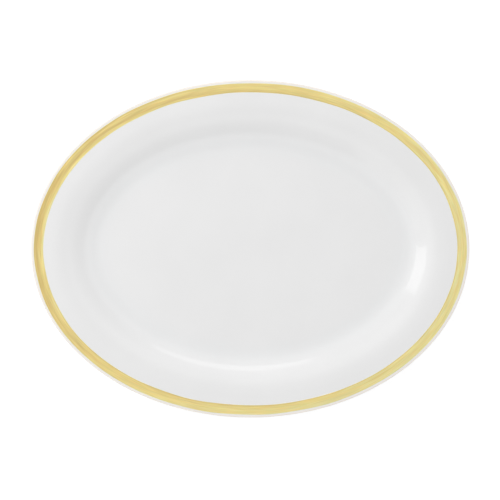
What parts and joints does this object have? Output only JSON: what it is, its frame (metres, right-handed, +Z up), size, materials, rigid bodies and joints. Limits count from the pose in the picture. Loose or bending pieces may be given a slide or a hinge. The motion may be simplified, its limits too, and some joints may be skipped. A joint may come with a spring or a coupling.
{
  "type": "oval serving platter",
  "caption": "Oval white china serving platter with a flat well, a wide softly curved rim, a brushed gold band just inside the lip and a bare foot ring underneath.",
  "frame": {"origin": "on the table under the middle of the platter, in the plane of the foot ring's standing face", "axes": "+X along the platter's length, +Y across its width, +Z up out of the well"},
  "size_m": [0.356, 0.274, 0.0217],
  "materials": {
    "china": "matte",
    "glaze": "polished",
    "gold": "satin"
  },
  "bodies": {
    "root": {"china_body": "china", "glaze_coat": "glaze", "recess_glaze": "glaze", "gold_band": "gold"}
  },
  "joints": []
}
